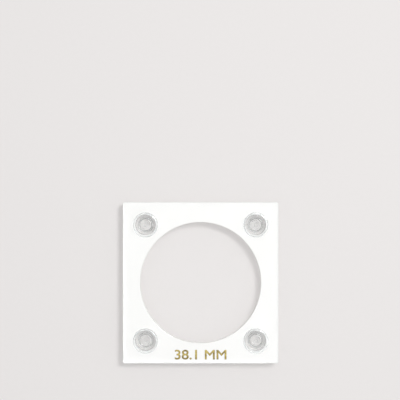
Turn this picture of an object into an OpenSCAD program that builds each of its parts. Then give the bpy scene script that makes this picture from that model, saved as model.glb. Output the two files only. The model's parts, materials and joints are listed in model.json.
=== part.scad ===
// Screw-together coin holder. Two clear covers clamp a white centre plate that
// has a round seat for one coin, and a two-part clear fastener passes through
// each corner: a post from the front, and a slotted screw from the back.
// Millimetres, lying on its back: +Z is out of the front, +Y is the top edge.
// The origin is below the middle of the plates, level with the screw heads.

/* [Plates] */
// Width of all three plates
plate_w = 49; // [47:0.1:70]
// Height of all three plates
plate_h = 50.8; // [48:0.1:70]
// Thickness of the clear back cover
back_t = 2; // [1.5:0.1:4]
// Thickness of the white centre plate
centre_t = 3; // [2:0.1:5]
// Thickness of the clear front cover
front_t = 2; // [1.5:0.1:4]
// Radius of the plates' corners
corner_r = 0.6; // [0.3:0.1:3]
// Bevel along the plates' edges
edge_bevel = 0.15; // [0.05:0.05:0.5]
// Bevel round the rims of the plates' holes
rim_bevel = 0.15; // [0.05:0.05:0.4]

/* [Coin seat] */
// Diameter of the coin that the seat is made for
coin_d = 38.1; // [17:0.1:40]
// How much wider the seat is than the coin
coin_play = 0.2; // [0.1:0.05:0.6]

/* [Fasteners] */
// Distance from each fastener's axis to the two nearest plate edges
fastener_inset = 7.1; // [5:0.1:8]
// Diameter of the post and screw heads
head_d = 7.8; // [7:0.1:9.5]
// Thickness of the post and screw heads
head_t = 1.6; // [1.2:0.1:3]
// Radius round the outer edge of each head
head_edge_r = 0.4; // [0.1:0.05:0.6]

/* [Posts] */
// Outside diameter of a post's barrel
barrel_d = 6.2; // [5.6:0.1:6.4]
// How much wider the plates' holes are than the barrel
barrel_play = 0.3; // [0.2:0.05:0.6]
// How far the barrel stops short of the screw's head, so that the heads clamp
clamp_gap = 0.3; // [0.1:0.05:1]
// Bevel at the barrel's open end, inside and out
mouth_bevel = 0.3; // [0.1:0.05:0.5]

/* [Screws] */
// Diameter over the screw's thread
thread_d = 4.2; // [3:0.1:4.6]
// Rise of the thread in one turn
thread_pitch = 0.8; // [0.6:0.05:1.2]
// Height of the thread above its core
thread_depth = 0.35; // [0.2:0.05:0.5]
// How much wider the post's bore is than the thread
thread_play = 0.2; // [0.1:0.05:0.5]
// How far the screw's tip stops below the front cover's face
tip_setback = 2; // [1:0.1:3]
// Plain length between the screw's head and its thread
neck_l = 0.5; // [0.2:0.1:1]
// Bevel at the screw's tip
tip_bevel = 0.4; // [0.2:0.05:0.8]
// Space left in the bore past the screw's tip
tip_gap = 0.5; // [0.2:0.1:1]
// Width of the driver slot
slot_w = 1.2; // [0.8:0.1:2]
// Depth of the driver slot
slot_depth = 0.8; // [0.4:0.1:1]

/* [Hidden] */

$fn = 96;

// Overshoot of a cutting tool past the face that it cuts
cut = 0.5;

clear_acrylic = [0.93, 0.95, 0.96, 0.35];
white_acrylic = [0.97, 0.97, 0.96];
clear_styrene = [0.90, 0.92, 0.93, 0.45];

seat_d = coin_d + coin_play;
hole_d = barrel_d + barrel_play;
bore_d = thread_d + thread_play;
core_d = thread_d - 2 * thread_depth;

// Heights of the stack's faces
back_z = head_t;
centre_z = back_z + back_t;
front_z = centre_z + centre_t;
face_z = front_z + front_t;
tip_z = face_z - tip_setback;

// Fastener corners as signs of X and Y
TOP_LEFT = [-1, 1];
TOP_RIGHT = [1, 1];
BOTTOM_LEFT = [-1, -1];
BOTTOM_RIGHT = [1, -1];
CORNERS = [TOP_LEFT, TOP_RIGHT, BOTTOM_LEFT, BOTTOM_RIGHT];

// Steps of the thread round one turn
thread_steps = 24;
// Foot, crest, crest and foot of the thread's section, as shares of the pitch
ridge_phase = [0, 0.3, 0.5, 0.8];
// Which of those four points are on the crest
ridge_crest = [0, 1, 1, 0];
// Turns over which the ridge rises from the core, and sinks back to it
ridge_runout = 0.4;
// How far the shank is rooted in the screw's head
shank_root = 0.4;

function corner_at(corner) = [
    corner.x * (plate_w / 2 - fastener_inset),
    corner.y * (plate_h / 2 - fastener_inset)
];

// Slots stand as a hand left them, each at its own angle
function slot_angle(corner) = 40 + 25 * corner.x - 50 * corner.y;

// Outline of a plate seen from the front
module plate_outline() {
    square([plate_w - 2 * corner_r, plate_h], center = true);
    square([plate_w, plate_h - 2 * corner_r], center = true);
    for (corner = CORNERS)
        translate([corner.x * (plate_w / 2 - corner_r), corner.y * (plate_h / 2 - corner_r)])
            circle(corner_r);
}

// Outline of a plate seen from one edge: width across, thickness up, edges bevelled
module edge_outline(width, thickness) {
    half = width / 2;
    polygon([
        [edge_bevel - half, 0], [half - edge_bevel, 0],
        [half, edge_bevel], [half, thickness - edge_bevel],
        [half - edge_bevel, thickness], [edge_bevel - half, thickness],
        [-half, thickness - edge_bevel], [-half, edge_bevel]
    ]);
}

// Solid plate with bevelled edges, lying on z = 0
module sheet(thickness) {
    intersection() {
        linear_extrude(thickness)
            plate_outline();
        rotate([90, 0, 0])
            linear_extrude(plate_h, center = true)
                edge_outline(plate_w, thickness);
        rotate([90, 0, 90])
            linear_extrude(plate_w, center = true)
                edge_outline(plate_h, thickness);
    }
}

// Cutter for a through hole with both rims bevelled, in a plate lying on z = 0
module hole_cutter(d, thickness) {
    translate([0, 0, -cut])
        cylinder(d = d, h = thickness + 2 * cut);
    for (face = [0, 1])
        translate([0, 0, face * thickness])
            mirror([0, 0, face])
                translate([0, 0, -cut])
                    cylinder(d1 = d + 2 * (rim_bevel + cut), d2 = d, h = rim_bevel + cut);
}

// Plate with the four fastener holes
module drilled_sheet(thickness) {
    difference() {
        sheet(thickness);
        for (corner = CORNERS)
            translate(corner_at(corner))
                hole_cutter(hole_d, thickness);
    }
}

// Disc lying on z = 0 with its lower edge rounded
module head_disc() {
    rotate_extrude() {
        square([head_d / 2 - head_edge_r, head_t]);
        translate([0, head_edge_r])
            square([head_d / 2, head_t - head_edge_r]);
        translate([head_d / 2 - head_edge_r, head_edge_r])
            circle(head_edge_r);
    }
}

// Points round the shank at one height, from angle 0 on
function shank_ring(r, z) = [
    for (step = [0 : thread_steps - 1])
        let (angle = 360 * step / thread_steps)
        [r * cos(angle), r * sin(angle), z]
];

// Point of the thread after some steps along its helix, at one of its section's four places
function thread_point(step, place, turns) =
    let (
        turn = step / thread_steps,
        growth = max(0, min(1, turn / ridge_runout, (turns - turn) / ridge_runout)),
        r = core_d / 2 + thread_depth * growth * ridge_crest[place]
    )
    [r * cos(360 * turn), r * sin(360 * turn), thread_pitch * (turn + ridge_phase[place])];

// Triangles from one point to each stretch of a chain of points
function fan(apex, chain) = [
    for (i = [0 : len(chain) - 2])
        [apex, chain[i], chain[i + 1]]
];

// Screw's shank as one closed skin from z = 0 to its tip: a plain root, a thread whose rows
// follow the helix, and a bevelled tip. The thread starts at thread_z.
module threaded_shank(length, thread_z) {
    top_z = length - tip_bevel;
    turns = floor((top_z - thread_z) / thread_pitch) - 1;
    last = turns * thread_steps;
    helix = [
        for (step = [0 : last], place = [0 : 3])
            thread_point(step, place, turns) + [0, 0, thread_z],
        for (step = [last + 1 : last + thread_steps])
            thread_point(step, 0, turns) + [0, 0, thread_z]
    ];
    root = len(helix);
    top = root + thread_steps;
    tip = top + thread_steps;
    points = concat(
        helix,
        shank_ring(core_d / 2, 0),
        shank_ring(core_d / 2, top_z),
        shank_ring(core_d / 2 - tip_bevel, length)
    );

    // Number of a helix point: place 4 of one turn is place 0 of the next
    function at(step, place) =
        place == 4 ? at(step + thread_steps, 0)
        : step <= last ? 4 * step + place
        : 4 * last + 3 + step - last;
    // Number of the next point round a ring
    function after(step) = (step + 1) % thread_steps;

    thread_faces = [
        for (step = [0 : last - 1], place = [0 : 3]) each [
            [at(step, place), at(step, place + 1), at(step + 1, place + 1)],
            [at(step, place), at(step + 1, place + 1), at(step + 1, place)]
        ]
    ];
    // Below the helix, where the first turn's seam closes against the last face
    root_faces = [
        for (step = [0 : thread_steps - 2])
            [root + step, at(step, 0), at(step + 1, 0), root + step + 1],
        each fan(
            at(thread_steps - 1, 0),
            [at(0, 4), at(0, 3), at(0, 2), at(0, 1), at(0, 0), root, root + thread_steps - 1]
        )
    ];
    // Above the helix, where the last turn's seam closes against the first face
    top_faces = [
        each fan(
            at(last + 1, 0),
            [at(last, 0), at(last, 1), at(last, 2), at(last, 3), at(last, 4), top, top + 1]
        ),
        for (step = [1 : thread_steps - 1])
            [at(last + step, 0), top + step, top + after(step), at(last + step + 1, 0)]
    ];
    tip_faces = [
        for (step = [0 : thread_steps - 1])
            [top + step, tip + step, tip + after(step), top + after(step)]
    ];
    end_faces = [
        [for (step = [0 : thread_steps - 1]) root + step],
        [for (step = [thread_steps - 1 : -1 : 0]) tip + step]
    ];
    polyhedron(points, concat(thread_faces, root_faces, top_faces, tip_faces, end_faces));
}

// Clear cover behind the coin
module back_cover() {
    color(clear_acrylic)
        translate([0, 0, back_z])
            drilled_sheet(back_t);
}

// White plate with the coin's seat
module centre_plate() {
    color(white_acrylic)
        translate([0, 0, centre_z])
            difference() {
                drilled_sheet(centre_t);
                hole_cutter(seat_d, centre_t);
            }
}

// Clear cover in front of the coin
module front_cover() {
    color(clear_acrylic)
        translate([0, 0, front_z])
            drilled_sheet(front_t);
}

// Post: a head on the front cover, and a barrel with a blind bore down through the stack
module post(corner) {
    barrel_end_z = back_z + clamp_gap;
    color(clear_styrene)
        translate(corner_at(corner))
            difference() {
                union() {
                    translate([0, 0, face_z + head_t])
                        mirror([0, 0, 1])
                            head_disc();
                    translate([0, 0, barrel_end_z + mouth_bevel])
                        cylinder(d = barrel_d, h = face_z - barrel_end_z - mouth_bevel);
                    translate([0, 0, barrel_end_z])
                        cylinder(d1 = barrel_d - 2 * mouth_bevel, d2 = barrel_d, h = mouth_bevel);
                }
                translate([0, 0, barrel_end_z - cut])
                    cylinder(d = bore_d, h = tip_z + tip_gap - barrel_end_z + cut);
                translate([0, 0, barrel_end_z - cut])
                    cylinder(d1 = bore_d + 2 * (mouth_bevel + cut), d2 = bore_d, h = mouth_bevel + cut);
            }
}

// Screw: a slotted head behind the back cover, and a threaded shank up into the post
module screw(corner) {
    shank_z = back_z - shank_root;
    color(clear_styrene)
        translate(corner_at(corner))
            difference() {
                union() {
                    head_disc();
                    translate([0, 0, shank_z])
                        threaded_shank(tip_z - shank_z, shank_root + neck_l);
                }
                rotate(slot_angle(corner))
                    translate([-head_d, -slot_w / 2, -cut])
                        cube([2 * head_d, slot_w, slot_depth + cut]);
            }
}

back_cover();
centre_plate();
front_cover();
post(TOP_LEFT);  // post_top_left
post(TOP_RIGHT);  // post_top_right
post(BOTTOM_LEFT);  // post_bottom_left
post(BOTTOM_RIGHT);  // post_bottom_right
screw(TOP_LEFT);  // screw_top_left
screw(TOP_RIGHT);  // screw_top_right
screw(BOTTOM_LEFT);  // screw_bottom_left
screw(BOTTOM_RIGHT);  // screw_bottom_right
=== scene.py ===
# %% [markdown]
# # A screw-together coin holder
# The holder is a stack of three plastic plates. The white one in the middle has a round seat for one
# coin, and a clear cover lies on each side of it. In each corner a clear post comes through from the
# front, and a clear slotted screw turns into it from the back, so that the two heads clamp the stack.
# The construction model fixes where everything is. Here each of its eleven pieces is modelled again
# with the small bevels, marks and finishes that the eye looks for.

# %% Load the frame
import json
import math

import bmesh
import bpy
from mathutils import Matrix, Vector


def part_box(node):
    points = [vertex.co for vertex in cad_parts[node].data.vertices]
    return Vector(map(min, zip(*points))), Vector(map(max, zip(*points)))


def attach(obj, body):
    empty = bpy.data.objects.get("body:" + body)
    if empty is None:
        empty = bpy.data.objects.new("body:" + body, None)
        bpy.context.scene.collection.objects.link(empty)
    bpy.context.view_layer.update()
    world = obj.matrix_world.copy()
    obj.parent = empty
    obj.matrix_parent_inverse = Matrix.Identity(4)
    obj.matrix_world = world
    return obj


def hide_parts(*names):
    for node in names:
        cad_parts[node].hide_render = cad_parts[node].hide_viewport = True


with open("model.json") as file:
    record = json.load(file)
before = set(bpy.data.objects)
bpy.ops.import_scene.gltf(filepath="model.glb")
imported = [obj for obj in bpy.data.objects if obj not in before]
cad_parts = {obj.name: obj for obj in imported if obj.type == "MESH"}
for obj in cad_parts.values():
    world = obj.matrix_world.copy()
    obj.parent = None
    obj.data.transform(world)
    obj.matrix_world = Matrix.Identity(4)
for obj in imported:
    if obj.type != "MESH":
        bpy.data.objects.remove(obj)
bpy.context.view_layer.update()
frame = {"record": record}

MM = 0.001

# %% [markdown]
# ## Where the pieces are
# A piece has to lie exactly where the construction model has it, so its place is read from that model
# and not typed in. The boxes of the three plates give the stack's heights, the post's box gives each
# corner's axis, and the record gives the seat's radius.

# %% Places from the frame
CORNERS = ("top_left", "top_right", "bottom_left", "bottom_right")

back_low, back_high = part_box("back_cover")
white_low, white_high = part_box("centre_plate")
front_low, front_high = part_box("front_cover")
post_low, post_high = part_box("post_top_left")
screw_low, screw_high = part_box("screw_top_left")


def corner_axis(corner):
    """The point on the floor below a corner's post and screw."""
    low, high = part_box("post_" + corner)
    return Vector(((low.x + high.x) / 2, (low.y + high.y) / 2, 0))


seat = next(mount for mount in frame["record"]["mounts"] if mount["name"] == "coin_seat")
SEAT_R = seat["dims"]["r_mm"] * MM
HEAD_R = (post_high.x - post_low.x) / 2
for corner in CORNERS:
    x, y = corner_axis(corner).xy / MM
    print(f"{corner}: axis at {x:.2f}, {y:.2f} mm")
print(f"seat radius {SEAT_R / MM:.2f} mm, heads {2 * HEAD_R / MM:.2f} mm across")

# %% [markdown]
# ## Working as by hand
# Blender's operators act on whatever is selected, so every step begins with a clean selection. The
# printed count shows why: loading has left things selected. A finished piece keeps its place in its mesh,
# with its object at the origin, because then it can be posed without a thought for where it was made.

# %% Taking an object
def take(piece):
    """Selects one object and nothing else, and makes it the active one."""
    bpy.ops.object.select_all(action="DESELECT")
    piece.select_set(True)
    bpy.context.view_layer.objects.active = piece


def settle(name):
    """Names the object just added, and moves its place and size into its mesh."""
    piece = bpy.context.active_object
    piece.name = name
    piece.data.name = name
    bpy.ops.object.transform_apply(location=True, rotation=True, scale=True)
    return piece


print(len(bpy.context.selected_objects), "objects are selected after loading")

# %% [markdown]
# Inside an object the same holds for its faces and edges. In the window a click picks one. In a script it
# is picked by where it is or which way it faces. A list of numbers would be shorter, but it would be
# wrong as soon as an earlier step changed.

# %% Picking faces and edges
# Cosine above which a face counts as looking along an axis
FACING = 0.9


def pick_faces(piece, wanted):
    """Opens edit mode with the faces selected whose centre and normal are wanted."""
    take(piece)
    bpy.ops.object.mode_set(mode="EDIT")
    bpy.ops.mesh.select_mode(type="FACE")
    bpy.ops.mesh.select_all(action="DESELECT")
    mesh = bmesh.from_edit_mesh(piece.data)
    for face in mesh.faces:
        if wanted(face.calc_center_median(), face.normal):
            face.select_set(True)
    bmesh.update_edit_mesh(piece.data)


def pick_edges(piece, wanted):
    """Opens edit mode with the edges selected whose two ends are wanted."""
    take(piece)
    bpy.ops.object.mode_set(mode="EDIT")
    bpy.ops.mesh.select_mode(type="EDGE")
    bpy.ops.mesh.select_all(action="DESELECT")
    mesh = bmesh.from_edit_mesh(piece.data)
    for edge in mesh.edges:
        if wanted(edge.verts[0].co, edge.verts[1].co):
            edge.select_set(True)
    bmesh.update_edit_mesh(piece.data)


def leave_edit():
    """Closes edit mode."""
    bpy.ops.object.mode_set(mode="OBJECT")


print(f"a face looks along an axis within {math.degrees(math.acos(FACING)):.0f} degrees of it")

# %% [markdown]
# Holes and the screw's slot are cut as in a workshop, with a tool of the right shape that is taken away
# afterwards, and threads are joined on. They could be drawn into each mesh face by face, but a Boolean
# modifier does both, and applying it leaves a plain mesh. After a Boolean or a screw sweep, doubled points
# are merged and the normals are turned outwards.

# %% Cutting and joining
# Points closer than this are one point
TINY = 0.001 * MM


def combine(piece, tool, operation):
    """Cuts a tool out of a piece, or joins it on, and takes the tool away."""
    take(piece)
    step = piece.modifiers.new("combine", "BOOLEAN")
    step.operation = operation
    step.solver = "EXACT"
    step.object = tool
    bpy.ops.object.modifier_apply(modifier=step.name)
    bpy.data.objects.remove(tool)


def clean(piece):
    """Merges doubled points and turns every face outwards."""
    take(piece)
    bpy.ops.object.mode_set(mode="EDIT")
    bpy.ops.mesh.select_all(action="SELECT")
    bpy.ops.mesh.remove_doubles(threshold=TINY)
    bpy.ops.mesh.normals_make_consistent(inside=False)
    leave_edit()


print(f"points within {TINY / MM} mm are merged")

# %% [markdown]
# No real edge is perfectly sharp. A narrow bevel gives each one a line of light, and without it the
# plastic would look cut from paper. A Bevel modifier finds the sharp edges by their angle, which is
# quicker than picking them. The last helper prints whether a shell is still closed.

# %% Edges, shading and a measure
# Degrees above which an edge is broken
SHARP_EDGE = 60


def break_edges(piece, width, steps):
    """Bevels every sharp edge of a piece a little, as handling and polishing do."""
    take(piece)
    bevel = piece.modifiers.new("broken edges", "BEVEL")
    bevel.width = width
    bevel.segments = steps
    bevel.limit_method = "ANGLE"
    bevel.angle_limit = math.radians(SHARP_EDGE)
    bpy.ops.object.modifier_apply(modifier=bevel.name)


def smooth(piece, degrees):
    """Shades a piece smooth, except across edges sharper than this."""
    take(piece)
    bpy.ops.object.shade_smooth_by_angle(angle=math.radians(degrees))


def report(piece):
    """Prints a piece's size, and its open or crowded edges, of which a closed shell has none."""
    mesh = bmesh.new()
    mesh.from_mesh(piece.data)
    loose = sum(1 for edge in mesh.edges if len(edge.link_faces) != 2)
    size = [round(length / MM, 2) for length in piece.dimensions]
    print(f"{piece.name}: {size} mm, {len(mesh.faces)} faces, {loose} loose edges")
    mesh.free()


print(f"edges over {SHARP_EDGE} degrees are broken")

# %% [markdown]
# ## The plates
# All three are cut from sheet: sawn to size, corners just taken off, faces left as bright as the sheet
# came. A plate could be drawn as an outline and extruded, but a box with its four upright edges
# bevelled is quicker, and the holes are then drilled through it. Before drilling, each plate is parted
# into nine panels. They don't show, but they keep a face from reaching from one hole to the next as a
# sliver, which would show as a hair line in the clear covers.

# %% Sawing and drilling
CORNER_R = 0.6 * MM
CORNER_STEPS = 8
PANEL_LINE = 12 * MM
HOLE_R = 3.25 * MM
HOLE_STEPS = 96
DRILL_LENGTH = 20 * MM


def saw_plate(name, low, high):
    """A plate with rounded corners and a hole for each post."""
    bpy.ops.object.select_all(action="DESELECT")
    bpy.ops.mesh.primitive_cube_add(size=1, location=(low + high) / 2, scale=high - low)
    plate = settle(name)
    pick_edges(plate, lambda a, b: abs(a.z - b.z) > TINY)
    bpy.ops.mesh.bevel(offset=CORNER_R, segments=CORNER_STEPS, affect="EDGES")
    for axis in (Vector((1, 0, 0)), Vector((0, 1, 0))):
        for side in (-PANEL_LINE, PANEL_LINE):
            bpy.ops.mesh.select_all(action="SELECT")
            bpy.ops.mesh.bisect(plane_co=side * axis, plane_no=axis)
    leave_edit()
    for corner in CORNERS:
        drill(plate, corner_axis(corner), HOLE_R, HOLE_STEPS)
    return plate


def drill(plate, axis, radius, steps):
    """Cuts a round hole right through a plate."""
    bpy.ops.object.select_all(action="DESELECT")
    bpy.ops.mesh.primitive_cylinder_add(vertices=steps, radius=radius, depth=DRILL_LENGTH, location=axis)
    combine(plate, bpy.context.active_object, "DIFFERENCE")


print(f"holes {2 * HOLE_R / MM} mm across")

# %% [markdown]
# The white plate is the only one with a seat. Its wall gets many steps, because it is the largest curve
# in the picture. After the edges are broken, the flat faces are cut into triangles, so that the shading
# can't guess at a face with two hundred corners. A little air is left between the plates. It is too
# thin to see, but two faces in one place would flicker.

# %% The three plates
SEAT_STEPS = 240
AIR = 0.04 * MM
EDGE_BREAK = 0.13 * MM
EDGE_STEPS = 3
# Degrees: more than between the steps of a corner, and less than between a face and its bevel
PLATE_SMOOTH = 12
# Cosine above which a face counts as level
LEVEL = 0.99


def finish_plate(plate):
    """Breaks a plate's edges and keeps its faces flat in the shading."""
    clean(plate)
    break_edges(plate, EDGE_BREAK, EDGE_STEPS)
    pick_faces(plate, lambda centre, normal: abs(normal.z) > LEVEL)
    bpy.ops.mesh.quads_convert_to_tris(ngon_method="BEAUTY")
    leave_edit()
    smooth(plate, PLATE_SMOOTH)
    report(plate)


white_plate = saw_plate("white_plate", white_low, white_high)
drill(white_plate, Vector((0, 0, 0)), SEAT_R, SEAT_STEPS)
finish_plate(white_plate)

back_sheet = saw_plate("clear_back", back_low, back_high - Vector((0, 0, AIR)))
finish_plate(back_sheet)

front_sheet = saw_plate("clear_front", front_low + Vector((0, 0, AIR)), front_high)
finish_plate(front_sheet)

# %% [markdown]
# ## The posts
# A post is moulded in one piece: a barrel that passes through all three plates, and a broad, slightly
# crowned head. A lathe profile could be spun for it, but from a cylinder the steps are those of the
# part itself. Its top is extruded and widened into the head, the rim is rounded, the crown is raised by
# insets, and the bore is sunk from below. One post is made on the Z axis, and the others are copies.

# %% Post barrel and head
BARREL_R = 3.1 * MM
HEAD_EDGE_R = 0.4 * MM
CROWN = 0.12 * MM
ROUND_STEPS = 96
RIM_STEPS = 6


def rod(name, radius, low, high):
    """An upright rod on the Z axis."""
    bpy.ops.object.select_all(action="DESELECT")
    bpy.ops.mesh.primitive_cylinder_add(
        vertices=ROUND_STEPS, radius=radius, depth=high - low, location=(0, 0, (low + high) / 2)
    )
    return settle(name)


def extrude_up(rise):
    """Extrudes the picked faces along Z."""
    bpy.ops.mesh.extrude_region_move(TRANSFORM_OT_translate={"value": (0, 0, rise)})


head_under = front_high.z + AIR
rim_z = post_high.z - CROWN
post = rod("post", BARREL_R, post_low.z, head_under)
pick_faces(post, lambda centre, normal: normal.z > FACING)
bpy.ops.mesh.extrude_region_move()
bpy.ops.transform.resize(value=(HEAD_R / BARREL_R, HEAD_R / BARREL_R, 1))
extrude_up(rim_z - head_under)
leave_edit()
pick_edges(post, lambda a, b: min(a.z, b.z) > rim_z - TINY)
bpy.ops.mesh.bevel(offset=HEAD_EDGE_R, segments=RIM_STEPS, affect="EDGES")
leave_edit()
report(post)

# %% [markdown]
# The crown is only a tenth of a millimetre high, but it makes a reflection on the head curve. A
# subdivision surface would dome the head too, but it would also soften the rim. So the top face is inset
# ring by ring, and each ring is lifted to a parabola. The small dimple in the middle is the gate mark,
# which is left where the plastic ran into the mould.

# %% Post crown and gate mark
CROWN_RINGS = [3.4 * MM, 2.8 * MM, 2.1 * MM, 1.4 * MM, 0.6 * MM]
GATE_DEPTH = 0.1 * MM
GATE_TAPER = 0.8

ring = flat_r = HEAD_R - HEAD_EDGE_R
lifted = 0
pick_faces(post, lambda centre, normal: centre.z > rim_z - TINY)
for next_ring in CROWN_RINGS:
    height = CROWN * (1 - (next_ring / flat_r) ** 2)
    bpy.ops.mesh.inset(thickness=ring - next_ring)
    bpy.ops.transform.translate(value=(0, 0, height - lifted))
    ring = next_ring
    lifted = height
extrude_up(-GATE_DEPTH)
bpy.ops.transform.resize(value=(GATE_TAPER, GATE_TAPER, 1))
leave_edit()
report(post)

# %% [markdown]
# The barrel is hollow below, so that the screw can come up inside it. A cylinder could be cut out of it,
# but the end face is already there: it is inset to the bore's width and extruded upwards, which keeps the
# mesh clean. The bore's end is a low cone, as a core pin leaves it, and its mouth is chamfered to lead
# the screw in.

# %% Post bore
BORE_R = 2.2 * MM
BORE_DEPTH = 5.2 * MM
BORE_END = 0.15 * MM
BORE_END_R = 1.45 * MM
MOUTH_BEVEL = 0.3 * MM
MOUTH_STEPS = 2


def on_circle(a, b):
    """True for an edge that runs round the axis, and not outwards or along it."""
    return abs(a.z - b.z) < TINY and abs(a.xy.length - b.xy.length) < TINY


pick_faces(post, lambda centre, normal: normal.z < -FACING and centre.z < post_low.z + TINY)
bpy.ops.mesh.inset(thickness=BARREL_R - BORE_R)
extrude_up(BORE_DEPTH)
bpy.ops.mesh.inset(thickness=BORE_R - BORE_END_R)
bpy.ops.transform.translate(value=(0, 0, BORE_END))
leave_edit()
pick_edges(post, lambda a, b: on_circle(a, b) and a.z < post_low.z + TINY)
bpy.ops.mesh.bevel(offset=MOUTH_BEVEL, segments=MOUTH_STEPS, affect="EDGES")
leave_edit()
report(post)

# %% [markdown]
# ## The thread
# A thread is one small section wound round the axis. A helix curve with a profile could draw it, but the
# profile would tilt on its way. The Screw modifier keeps it upright: it sweeps a section round Z and
# lifts it by one pitch for each turn. The pitch comes from the record, which couples a screw's turn to its
# post's rise, so that the thread fits the motion. The section is a plane whose outer edge is narrowed to a
# crest, with its face deleted so that only the outline is swept, and the two ends are closed afterwards.

# %% Thread sweep
# Radians that a screw turns while its post rises by a metre
TURN_PER_METRE = frame["record"]["behaviour"]["couplings"][0]["ratio"]
PITCH = 2 * math.pi / TURN_PER_METRE
THREAD_STEPS = 48
SECTION_SIDES = 4


def sweep_thread(name, foot_r, crest_r, foot_w, crest_w, start_z, turns):
    """A helical ridge from its foot to its crest."""
    bpy.ops.object.select_all(action="DESELECT")
    bpy.ops.mesh.primitive_plane_add(
        size=1,
        location=((foot_r + crest_r) / 2, 0, start_z),
        rotation=(math.pi / 2, 0, 0),
    )
    bpy.context.active_object.scale = (abs(crest_r - foot_r), foot_w, 1)
    ridge = settle(name)
    pick_edges(ridge, lambda a, b: abs(a.x - crest_r) < TINY and abs(b.x - crest_r) < TINY)
    bpy.ops.transform.resize(value=(1, 1, crest_w / foot_w))
    bpy.ops.mesh.select_all(action="SELECT")
    bpy.ops.mesh.delete(type="ONLY_FACE")
    leave_edit()
    winding = ridge.modifiers.new("winding", "SCREW")
    winding.axis = "Z"
    winding.screw_offset = PITCH
    winding.iterations = turns
    winding.steps = THREAD_STEPS
    winding.render_steps = THREAD_STEPS
    bpy.ops.object.modifier_apply(modifier=winding.name)
    bpy.ops.object.mode_set(mode="EDIT")
    bpy.ops.mesh.select_all(action="SELECT")
    bpy.ops.mesh.fill_holes(sides=SECTION_SIDES)
    leave_edit()
    clean(ridge)
    return ridge


print(f"{THREAD_STEPS} steps to a turn, {PITCH / MM:.3f} mm higher after each")

# %% [markdown]
# A moulded thread has no blunt ends: it rises out of the core and sinks back into it. A cone could cut
# the ends off at a slant, but it would leave a sharp edge. Proportional editing does better, as by hand:
# the two end faces are scaled to below the foot, and the turns next to them follow, less and less.

# %% Thread ends
RUN_OUT = 2 * MM


def sink_ends(ridge, foot_r, crest_r):
    """Draws both ends of a ridge past its foot, easing off along the thread."""
    pick_faces(ridge, lambda centre, normal: abs(normal.y) > FACING and abs(centre.y) < TINY)
    ease = foot_r / crest_r
    bpy.ops.transform.resize(
        value=(ease, ease, 1),
        center_override=(0, 0, 0),
        use_proportional_edit=True,
        use_proportional_connected=True,
        proportional_edit_falloff="SMOOTH",
        proportional_size=RUN_OUT,
    )
    leave_edit()


print(f"threads run out over {RUN_OUT / MM} mm")

# %% [markdown]
# The post's thread is an inner one: its foot is in the bore's wall, and its crest points at the axis. It
# is wound with the same helper, half a pitch above the screw's thread, so that each ridge lies in the
# other's groove. The widths leave about a tenth of a millimetre of air on each flank, and the foot is
# rooted a little way inside the wall, because a Boolean needs a real overlap.

# %% Post thread
ROOTED = 0.15 * MM
THREAD_TURNS = 4
INNER_CREST_R = 1.9 * MM
INNER_FOOT_W = 0.7 * MM
INNER_CREST_W = 0.14 * MM
# Length of the screw from its head up to the middle of its thread's first section
NECK = 0.82 * MM
THREAD_Z = back_low.z + NECK
# Degrees: more than between the steps of a head's rim, and less than at the edges of a thread
MOULDED_SMOOTH = 25

inner_thread = sweep_thread(
    "inner thread", BORE_R + ROOTED, INNER_CREST_R, INNER_FOOT_W, INNER_CREST_W,
    THREAD_Z + PITCH / 2, THREAD_TURNS,
)
sink_ends(inner_thread, BORE_R + ROOTED, INNER_CREST_R)
combine(post, inner_thread, "UNION")
clean(post)
smooth(post, MOULDED_SMOOTH)
report(post)

# %% [markdown]
# ## The screws
# A screw is a head like the post's, but flat and with a slot for a driver, and a threaded shank. The slot
# could be modelled from the head's own faces, but a bar cut out of it is what a mould does too. Its edges
# are broken before the shank is joined on, because the bevel would otherwise also round the thread.

# %% Screw head and slot
SLOT_W = 1.2 * MM
SLOT_DEPTH = 0.8 * MM
SLOT_BREAK = 0.06 * MM
SLOT_BREAK_STEPS = 2

head_top = back_low.z - AIR
screw = rod("screw", HEAD_R, screw_low.z, head_top)
pick_edges(screw, lambda a, b: max(a.z, b.z) < screw_low.z + TINY)
bpy.ops.mesh.bevel(offset=HEAD_EDGE_R, segments=RIM_STEPS, affect="EDGES")
leave_edit()
bpy.ops.object.select_all(action="DESELECT")
# Longer than the head is wide, and half of its height is below the head
bpy.ops.mesh.primitive_cube_add(size=1, scale=(4 * HEAD_R, SLOT_W, 2 * SLOT_DEPTH))
combine(screw, bpy.context.active_object, "DIFFERENCE")
clean(screw)
break_edges(screw, SLOT_BREAK, SLOT_BREAK_STEPS)
report(screw)

# %% [markdown]
# The shank is a rod with a chamfered tip. It could be extruded from the head, but a thread joins more
# cleanly on a rod of its own, which then starts a little way inside the head so that the two join without
# a seam. The thread is the same sweep as the post's, with the crest outside.

# %% Screw shank
THREAD_R = 2.1 * MM
CORE_R = 1.75 * MM
FOOT_W = 0.8 * MM
CREST_W = 0.16 * MM
TIP_BEVEL = 0.4 * MM
SHANK_ROOT = 0.4 * MM

shank = rod("shank", CORE_R, head_top - SHANK_ROOT, screw_high.z)
pick_edges(shank, lambda a, b: min(a.z, b.z) > screw_high.z - TINY)
bpy.ops.mesh.bevel(offset=TIP_BEVEL, segments=1, affect="EDGES")
leave_edit()
thread = sweep_thread(
    "thread", CORE_R - ROOTED, THREAD_R, FOOT_W, CREST_W, THREAD_Z, THREAD_TURNS
)
sink_ends(thread, CORE_R - ROOTED, THREAD_R)
combine(shank, thread, "UNION")
combine(screw, shank, "UNION")
clean(screw)
smooth(screw, MOULDED_SMOOTH)
report(screw)

# %% [markdown]
# ## Four corners
# Linked copies would share one mesh, but a finished piece keeps its place in its mesh, so each copy gets
# its own. A screw and its post turn together, by the angle at which the screw's slot was left, so that
# their threads still fit.

# %% Copies
# Degrees that each slot is turned from the X axis
SLOT_ANGLES = {"top_left": -35, "top_right": 15, "bottom_left": 65, "bottom_right": 115}


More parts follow.
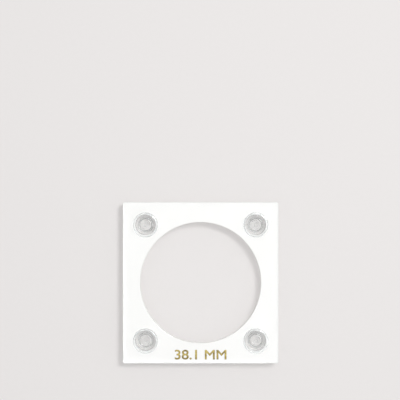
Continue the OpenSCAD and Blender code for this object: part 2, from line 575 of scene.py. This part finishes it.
def place_copy(master, name, corner):
    """Copies a turned piece to a corner of the holder."""
    take(master)
    bpy.ops.object.duplicate(linked=False)
    piece = bpy.context.active_object
    piece.location = corner_axis(corner)
    piece.rotation_euler.z = math.radians(SLOT_ANGLES[corner])
    return settle(name)


posts = {corner: place_copy(post, "clear_post_" + corner, corner) for corner in CORNERS}
screws = {corner: place_copy(screw, "clear_screw_" + corner, corner) for corner in CORNERS}
bpy.data.objects.remove(post)
bpy.data.objects.remove(screw)
print(len(posts), "posts and", len(screws), "screws in place")

# %% [markdown]
# ## The stamped mark
# Below the seat, the white plate carries a mark hot-stamped in gold foil: the width of the coin that the
# seat takes. The plate's material could paint it, but a shape of its own stays sharp from close by. A
# text object draws it, with a small bevel that makes the strokes heavier and gives the foil a slanted
# edge. It is turned to a mesh before it is sized, so that it is exactly as wide, as tall and as thick as
# wanted. Half of the thickness is pressed into the plate.

# %% Stamped mark
# From the plate's bottom edge up to the middle of the mark
MARK_UP = 2.6 * MM
MARK_MIDDLE = Vector((0, white_low.y + MARK_UP, white_high.z))
MARK_W = 16.4 * MM
MARK_H = 3.1 * MM
FOIL_T = 0.02 * MM
# Bevel of the strokes in the text's own units, before it is sized
HEAVIER = 0.016

bpy.ops.object.select_all(action="DESELECT")
bpy.ops.object.text_add()
lettering = bpy.context.active_object.data
lettering.body = "38.1 MM"
lettering.align_x = "CENTER"
lettering.bevel_depth = HEAVIER
lettering.bevel_resolution = 0
bpy.ops.object.convert(target="MESH")
mark = bpy.context.active_object
drawn = mark.dimensions
mark.scale = (MARK_W / drawn.x, MARK_H / drawn.y, FOIL_T / drawn.z)
bpy.ops.object.origin_set(type="ORIGIN_GEOMETRY", center="BOUNDS")
mark.location = MARK_MIDDLE
mark = settle("stamped_mark")
clean(mark)
report(mark)

# %% [markdown]
# ## Finishes
# Every finish starts from what the plastic is and how its surface was made. Colours are written as sRGB,
# as a paint chart has them, and one function turns them into the linear values that shaders work with.
# Pattern sizes are written in millimetres.

# %% Colours and scales
def linear(code):
    """An sRGB hex colour as the linear colour that a socket takes."""
    shares = [int(code[at:at + 2], 16) / 255 for at in (1, 3, 5)]
    return [s / 12.92 if s <= 0.04045 else ((s + 0.055) / 1.055) ** 2.4 for s in shares] + [1]


def per_metre(millimetres):
    """The texture scale at which one patch of a pattern is this wide."""
    return 1 / (millimetres * MM)


print(f"half-way grey, #808080, is {linear('#808080')[0]:.3f} in linear light")

# %% [markdown]
# A material is a small tree of nodes. In the editor each node is added, set and wired by hand. Here one
# function does those three things for any kind of node. Values that are the same all over a surface are
# set on the shader itself. Patterns read Object coordinates, so they stay on a piece when it moves.

# %% Materials and nodes
# Sockets of a Mix node that is set to mix colours
FIRST, SECOND, MIXED = 6, 7, 2


def start_finish(name, sockets):
    """A new material with values set on its shader. Also gives its nodes and its coordinates."""
    finish = bpy.data.materials.new(name)
    finish.use_nodes = True
    tree = finish.node_tree
    shader = tree.nodes["Principled BSDF"]
    for socket, value in sockets.items():
        shader.inputs[socket].default_value = value
    where = add_node(tree, "ShaderNodeTexCoord", {}, {}).outputs["Object"]
    return finish, tree, shader, where


def add_node(tree, kind, values, links, **settings):
    """Adds a node with its settings, its socket values and its links."""
    node = tree.nodes.new(kind)
    for setting, value in settings.items():
        setattr(node, setting, value)
    for socket, value in values.items():
        node.inputs[socket].default_value = value
    for socket, source in links.items():
        tree.links.new(source, node.inputs[socket])
    return node


print(f"colours are mixed at sockets {FIRST} and {SECOND}")

# %% [markdown]
# ### White acrylic
# The white plate is opaque cast acrylic with the gloss that the casting gave it. What shows is a clean
# white that isn't quite even, a deep reflection, and a trace of orange peel that makes the reflection
# waver. One flat colour would look like paper. Two noises do better: a wide one for tone and gloss, and
# a finer one for the ripple.

# %% White cast acrylic, as cast
ACRYLIC_IOR = 1.49
CLOUD = 14
PEEL = 2.5
PEEL_DEPTH = 0.004 * MM

white_gloss, tree, shader, where = start_finish("white cast acrylic", {"IOR": ACRYLIC_IOR})
cloud = add_node(
    tree, "ShaderNodeTexNoise", {"Scale": per_metre(CLOUD), "Detail": 4}, {"Vector": where}
).outputs["Fac"]
peel = add_node(
    tree, "ShaderNodeTexNoise", {"Scale": per_metre(PEEL), "Detail": 1}, {"Vector": where}
).outputs["Fac"]
tone = add_node(
    tree, "ShaderNodeMix", {FIRST: linear("#F5F5F3"), SECOND: linear("#FAFAF9")}, {0: cloud},
    data_type="RGBA",
)
gloss = add_node(tree, "ShaderNodeMapRange", {"To Min": 0.08, "To Max": 0.2}, {"Value": cloud})
ripple = add_node(tree, "ShaderNodeBump", {"Distance": PEEL_DEPTH}, {"Height": peel})
tree.links.new(tone.outputs[MIXED], shader.inputs["Base Color"])
tree.links.new(gloss.outputs["Result"], shader.inputs["Roughness"])
tree.links.new(ripple.outputs["Normal"], shader.inputs["Normal"])
print("made", white_gloss.name)

# %% [markdown]
# Where a sheet is sawn or bored, the cutter leaves fine upright lines and takes the gloss away. A wave
# texture would draw them too evenly. Noise that is stretched along Z draws them as they are, on every
# upright face, whichever way it looks. Real tool marks are about 0.1 mm apart. They are drawn at 0.4 mm,
# which is as fine as the picture can show.

# %% White acrylic, sawn
SAW_LINE = 0.4
SAW_STRETCH = (1, 1, 0.04)
SAW_DEPTH = 0.012 * MM
# Most of a noise lies in this band, which a Map Range node stretches to its full range
NOISE_BAND = {"From Min": 0.35, "From Max": 0.65}


def saw_finish(name, sockets, groove_tone, ridge_tone, smoothest, roughest):
    """A sawn finish, whose upright lines vary its colour, its gloss and its surface."""
    finish, tree, shader, where = start_finish(name, sockets)
    upright = add_node(tree, "ShaderNodeMapping", {"Scale": SAW_STRETCH}, {"Vector": where})
    noise = add_node(
        tree, "ShaderNodeTexNoise", {"Scale": per_metre(SAW_LINE), "Detail": 3},
        {"Vector": upright.outputs["Vector"]},
    )
    lines = add_node(
        tree, "ShaderNodeMapRange", NOISE_BAND, {"Value": noise.outputs["Fac"]}
    ).outputs["Result"]
    tone = add_node(
        tree, "ShaderNodeMix", {FIRST: linear(groove_tone), SECOND: linear(ridge_tone)}, {0: lines},
        data_type="RGBA",
    )
    gloss = add_node(
        tree, "ShaderNodeMapRange", {"To Min": smoothest, "To Max": roughest}, {"Value": lines}
    )
    grooves = add_node(tree, "ShaderNodeBump", {"Distance": SAW_DEPTH}, {"Height": noise.outputs["Fac"]})
    tree.links.new(tone.outputs[MIXED], shader.inputs["Base Color"])
    tree.links.new(gloss.outputs["Result"], shader.inputs["Roughness"])
    tree.links.new(grooves.outputs["Normal"], shader.inputs["Normal"])
    print("made", name)
    return finish


white_sawn = saw_finish(
    "white acrylic, sawn", {"IOR": ACRYLIC_IOR}, "#EDEDEB", "#F5F5F4", smoothest=0.35, roughest=0.6
)

# %% [markdown]
# ### Clear acrylic
# The covers are cast acrylic too, but water-white. A low alpha would let light through as well, but
# unbent. With full transmission the light bends as the IOR of 1.49 says. A little handling haze lets the
# roughness drift by a few hundredths, so that a reflection isn't cut with a knife.

# %% Clear cast acrylic, as cast
HAZE = 11
SHEET_WAVE = 7
WAVE_DEPTH = 0.003 * MM

clear_gloss, tree, shader, where = start_finish(
    "clear cast acrylic",
    {"Base Color": linear("#FFFFFF"), "IOR": ACRYLIC_IOR, "Transmission Weight": 1},
)
haze = add_node(
    tree, "ShaderNodeTexNoise", {"Scale": per_metre(HAZE), "Detail": 5}, {"Vector": where}
).outputs["Fac"]
wave = add_node(
    tree, "ShaderNodeTexNoise", {"Scale": per_metre(SHEET_WAVE), "Detail": 0}, {"Vector": where}
).outputs["Fac"]
gloss = add_node(
    tree, "ShaderNodeMapRange", {**NOISE_BAND, "To Min": 0.015, "To Max": 0.04}, {"Value": haze}
)
ripple = add_node(tree, "ShaderNodeBump", {"Distance": WAVE_DEPTH}, {"Height": wave})
tree.links.new(gloss.outputs["Result"], shader.inputs["Roughness"])
tree.links.new(ripple.outputs["Normal"], shader.inputs["Normal"])
print("made", clear_gloss.name)

# %% [markdown]
# A sawn edge of clear acrylic is frosted: part of the light goes through it, spread wide, and part
# comes straight back off the broken surface as a cool white. Lowering the transmission weight gives
# that second part, and the same upright lines as on the white plate show the saw.

# %% Clear acrylic, sawn
clear_sawn = saw_finish(
    "clear acrylic, sawn", {"IOR": ACRYLIC_IOR, "Transmission Weight": 0.5},
    "#F1F4F5", "#FAFCFC", smoothest=0.3, roughest=0.45,
)

# %% [markdown]
# ### Clear polystyrene
# Posts and screws are moulded from crystal polystyrene. The covers' finish would do from afar, but an IOR
# of 1.59 bends light more than acrylic does, which is why the fasteners stand out against the covers. The
# melt leaves faint swirls, a little greyer and a little duller, and a distorted noise draws them.

# %% Clear moulded polystyrene
STYRENE_IOR = 1.59
SWIRL = 1.6
SWIRL_DEPTH = 0.004 * MM

clear_moulded, tree, shader, where = start_finish(
    "clear moulded polystyrene", {"IOR": STYRENE_IOR, "Transmission Weight": 1}
)
swirl = add_node(
    tree, "ShaderNodeTexNoise", {"Scale": per_metre(SWIRL), "Detail": 2, "Distortion": 1.5},
    {"Vector": where},
).outputs["Fac"]
tone = add_node(
    tree, "ShaderNodeMix", {FIRST: linear("#FCFDFD"), SECOND: linear("#FFFFFF")}, {0: swirl},
    data_type="RGBA",
)
gloss = add_node(tree, "ShaderNodeMapRange", {"To Min": 0.01, "To Max": 0.07}, {"Value": swirl})
ripple = add_node(tree, "ShaderNodeBump", {"Distance": SWIRL_DEPTH}, {"Height": swirl})
tree.links.new(tone.outputs[MIXED], shader.inputs["Base Color"])
tree.links.new(gloss.outputs["Result"], shader.inputs["Roughness"])
tree.links.new(ripple.outputs["Normal"], shader.inputs["Normal"])
print("made", clear_moulded.name)

# %% [markdown]
# ### Gold foil
# Hot-stamping foil is a lacquered metal film pressed on with a heated die. It is a metal to the shader,
# and neither mirror nor paint to the eye: the die presses unevenly, which leaves it paler in places and
# browner in others, and the film has a fine grain. That grain is far below a pixel, so it is drawn at a
# quarter of a millimetre.

# %% Hot-stamped gold foil
PRESSURE = 1.3
GRAIN = 0.25
GRAIN_DEPTH = 0.002 * MM

gold_foil, tree, shader, where = start_finish("hot-stamped gold foil", {"Metallic": 1})
pressure = add_node(
    tree, "ShaderNodeTexNoise", {"Scale": per_metre(PRESSURE), "Detail": 3}, {"Vector": where}
).outputs["Fac"]
grain = add_node(
    tree, "ShaderNodeTexNoise", {"Scale": per_metre(GRAIN), "Detail": 2}, {"Vector": where}
).outputs["Fac"]
uneven = add_node(tree, "ShaderNodeMapRange", NOISE_BAND, {"Value": pressure})
tone = add_node(
    tree, "ShaderNodeMix", {FIRST: linear("#7C6A22"), SECOND: linear("#C8B35A")},
    {0: uneven.outputs["Result"]},
    data_type="RGBA",
)
gloss = add_node(tree, "ShaderNodeMapRange", {"To Min": 0.25, "To Max": 0.5}, {"Value": grain})
grit = add_node(tree, "ShaderNodeBump", {"Distance": GRAIN_DEPTH}, {"Height": grain})
tree.links.new(tone.outputs[MIXED], shader.inputs["Base Color"])
tree.links.new(gloss.outputs["Result"], shader.inputs["Roughness"])
tree.links.new(grit.outputs["Normal"], shader.inputs["Normal"])
print("made", gold_foil.name)

# %% [markdown]
# A plate's edges could be an object of their own, but a piece can carry several materials, and each face
# says which one it shows. On the plates, every face that doesn't look up or down was made by a saw or a
# drill.

# %% Finishes on the pieces
def coat(piece, face_finish, sawn_finish=None):
    """Gives a piece its finish, and the sawn and drilled faces of a plate another one."""
    piece.data.materials.clear()
    piece.data.materials.append(face_finish)
    if sawn_finish:
        piece.data.materials.append(sawn_finish)
        for face in piece.data.polygons:
            face.material_index = 1 if abs(face.normal.z) < FACING else 0


coat(white_plate, white_gloss, white_sawn)
coat(back_sheet, clear_gloss, clear_sawn)
coat(front_sheet, clear_gloss, clear_sawn)
coat(mark, gold_foil)
for piece in (*posts.values(), *screws.values()):
    coat(piece, clear_moulded)
print("finishes are on")

# %% [markdown]
# ## The studio
# The holder lies on a pale board. One lamp and a sky would leave deeper shadows on it than the many soft
# lamps of a product studio do. So part of the board's brightness, where the camera sees it directly, in a
# reflection or through clear plastic, is its own. It still takes the holder's shadow.

# %% Board
BOARD_SIZE = 4000 * MM
BOARD_GLOW = 0.28
FIBRE = 1.2

board_paper, tree, shader, where = start_finish("pale board", {"Roughness": 0.9})
fibre = add_node(
    tree, "ShaderNodeTexNoise", {"Scale": per_metre(FIBRE), "Detail": 4}, {"Vector": where}
).outputs["Fac"]
tone = add_node(
    tree, "ShaderNodeMix", {FIRST: linear("#E6E3E2"), SECOND: linear("#E8E5E4")}, {0: fibre},
    data_type="RGBA",
)
tree.links.new(tone.outputs[MIXED], shader.inputs["Base Color"])
glow = add_node(tree, "ShaderNodeEmission", {}, {"Color": tone.outputs[MIXED]})
path = add_node(tree, "ShaderNodeLightPath", {}, {}).outputs
seen = add_node(
    tree, "ShaderNodeMath", {}, {0: path["Is Camera Ray"], 1: path["Is Glossy Ray"]}, operation="MAXIMUM"
)
seen = add_node(
    tree, "ShaderNodeMath", {}, {0: seen.outputs[0], 1: path["Is Transmission Ray"]}, operation="MAXIMUM"
)
share = add_node(tree, "ShaderNodeMath", {1: BOARD_GLOW}, {0: seen.outputs[0]}, operation="MULTIPLY")
mixed = add_node(
    tree, "ShaderNodeMixShader", {},
    {0: share.outputs[0], 1: shader.outputs["BSDF"], 2: glow.outputs["Emission"]},
)
tree.links.new(mixed.outputs["Shader"], tree.nodes["Material Output"].inputs["Surface"])

bpy.ops.object.select_all(action="DESELECT")
bpy.ops.mesh.primitive_plane_add(size=BOARD_SIZE, location=(0, 0, -AIR))
board = settle("board")
coat(board, board_paper)
print("made", board.name)

# %% [markdown]
# One soft lamp stands to the upper right, high enough for narrow shadows at the left and below, and a
# pale sky lights the rest. Cycles stops a lamp's light at clear plastic, as it can't aim through a bend.
# Shadow linking mends that: only the opaque pieces are listed as what may block this lamp. The limits on
# bounces are raised, because light runs along inside a clear sheet from edge to edge. At the usual four
# reflections it would be given up half-way, and the edges would look like smoked glass.

# %% Lamp
LAMP_AZIMUTH = math.radians(44)
LAMP_ELEVATION = math.radians(70)
LAMP_DISTANCE = 600 * MM
LAMP_ACROSS = 130 * MM
LAMP_SHARE = 0.357
BOUNCES = 32
DIFFUSE_BOUNCES = 8

towards = Vector((
    math.cos(LAMP_ELEVATION) * math.cos(LAMP_AZIMUTH),
    math.cos(LAMP_ELEVATION) * math.sin(LAMP_AZIMUTH),
    math.sin(LAMP_ELEVATION),
))
bpy.ops.object.light_add(type="AREA", location=towards * LAMP_DISTANCE)
lamp = bpy.context.active_object
lamp.name = "soft_lamp"
lamp.rotation_euler = (-towards).to_track_quat("-Z", "Y").to_euler()
lamp.data.shape = "DISK"
lamp.data.size = LAMP_ACROSS
# Power at which a white board below the lamp sends back LAMP_SHARE of white
lamp.data.energy = LAMP_SHARE * math.pi ** 2 * LAMP_DISTANCE ** 2 / math.sin(LAMP_ELEVATION)
# Its light already passes the clear pieces, so a bent path that ends at the lamp mustn't count again
lamp.visible_transmission = False
opaque = bpy.data.collections.new("opaque pieces")
for piece in (white_plate, mark, board):
    opaque.objects.link(piece)
lamp.light_linking.blocker_collection = opaque
light_paths = bpy.context.scene.cycles
light_paths.max_bounces = BOUNCES
light_paths.transmission_bounces = BOUNCES
light_paths.glossy_bounces = BOUNCES
light_paths.diffuse_bounces = DIFFUSE_BOUNCES
# Reflections inside the plastic stay as sharp as its surface makes them
light_paths.blur_glossy = 0
print(f"lamp of {lamp.data.energy:.2f} W")

# %% [markdown]
# The sky is a plain white that is a little brighter overhead than at the horizon. An even one would be
# simpler, but that small difference lets a clear rim stand out from what is behind it.

# %% Sky
ZENITH = 0.756
HORIZON = 0.525

sky = bpy.data.worlds.new("pale sky")
bpy.context.scene.world = sky
sky.use_nodes = True
tree = sky.node_tree
heading = add_node(tree, "ShaderNodeTexCoord", {}, {}).outputs["Generated"]
upward = add_node(tree, "ShaderNodeSeparateXYZ", {}, {0: heading}).outputs["Z"]
level = add_node(tree, "ShaderNodeMapRange", {"To Min": HORIZON, "To Max": ZENITH}, {"Value": upward})
tree.nodes["Background"].inputs["Color"].default_value = linear("#FFFFFF")
tree.links.new(level.outputs["Result"], tree.nodes["Background"].inputs["Strength"])
print(f"sky from {HORIZON} at the horizon to {ZENITH} overhead")

# %% [markdown]
# The camera looks straight down, and a long lens keeps the plate's sides from showing. Its height follows
# from how tall the white plate is in the picture, and its place from where the plate's middle is there.

# %% Camera
IMAGE_PX = 400
PLATE_TALL_PX = 160.3
PLATE_MIDDLE_PX = (200.6, 282.55)
# Blender takes these two in millimetres
LENS = 150
SENSOR = 36

per_px = (white_high.y - white_low.y) / PLATE_TALL_PX
distance = IMAGE_PX * per_px * LENS / SENSOR
bpy.ops.object.camera_add(location=(
    (IMAGE_PX / 2 - PLATE_MIDDLE_PX[0]) * per_px,
    (PLATE_MIDDLE_PX[1] - IMAGE_PX / 2) * per_px,
    white_high.z + distance,
))
camera = bpy.context.active_object
camera.name = "camera"
camera.data.lens = LENS
camera.data.sensor_width = SENSOR
bpy.context.scene.camera = camera
bpy.context.scene.view_settings.view_transform = "Standard"
print(f"camera {distance:.3f} m above the white plate")

# %% [markdown]
# ## Into the frame
# Each new piece now takes the place of its construction solid: it rides on that body and hides the
# solid. The stamped mark has no solid of its own, and rides on the white plate.

# %% Bodies and solids
def stand_for(piece, node):
    """Lets a piece ride on a body of the same name as its solid, and takes the solid's place."""
    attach(piece, node)
    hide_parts(node)


stand_for(white_plate, "centre_plate")
stand_for(back_sheet, "back_cover")
stand_for(front_sheet, "front_cover")
for corner in CORNERS:
    stand_for(posts[corner], "post_" + corner)
    stand_for(screws[corner], "screw_" + corner)
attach(mark, "centre_plate")
